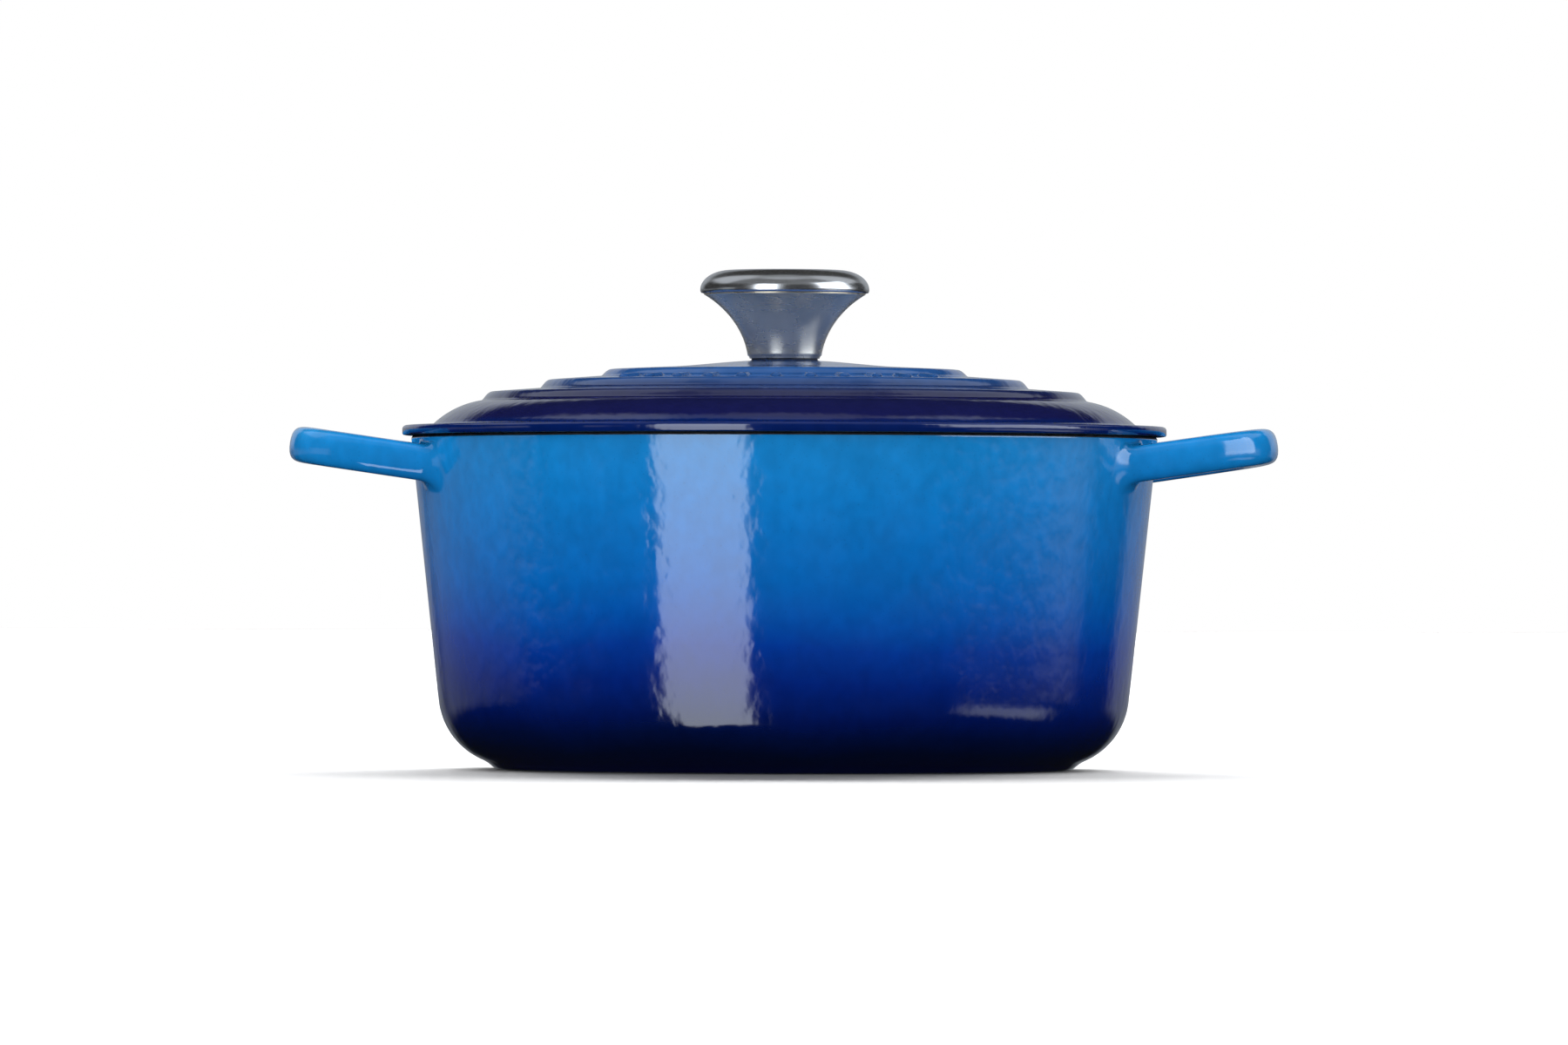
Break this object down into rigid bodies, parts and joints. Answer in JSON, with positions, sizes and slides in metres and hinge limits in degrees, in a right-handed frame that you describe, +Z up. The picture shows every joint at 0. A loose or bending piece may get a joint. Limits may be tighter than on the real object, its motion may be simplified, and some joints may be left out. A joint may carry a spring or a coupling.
{
  "type": "dutch oven",
  "caption": "Round enamelled cast iron dutch oven with two loop handles, a stepped lid that lifts off and a flared hollow steel knob held by a screw.",
  "frame": {"origin": "centre of the pot's foot, on the floor it stands on", "axes": "+X from the pot's axis towards one loop handle, the other handle lies along -X; +Z up along the axis of the pot, lid and knob"},
  "size_m": [0.332, 0.2566, 0.1678],
  "materials": {
    "blue_enamel": "gloss",
    "navy_enamel": "gloss",
    "polished_steel": "polished",
    "satin_steel": "satin",
    "zinc_steel": "satin",
    "black_rubber": "matte"
  },
  "bodies": {
    "pot": {"pot": "blue_enamel"},
    "lid": {"lid": "navy_enamel", "knob_cap": "polished_steel", "knob_stem": "satin_steel", "knob_base": "satin_steel", "knob_insert": "zinc_steel", "knob_gasket": "black_rubber", "knob_screw": "zinc_steel", "lid_washer": "zinc_steel", "lock_washer": "zinc_steel"}
  },
  "joints": [
    {"name": "lid_lift", "type": "slide", "parent": "pot", "child": "lid", "axis": [0, 0, 1], "range_m": [0, 0.15]}
  ]
}
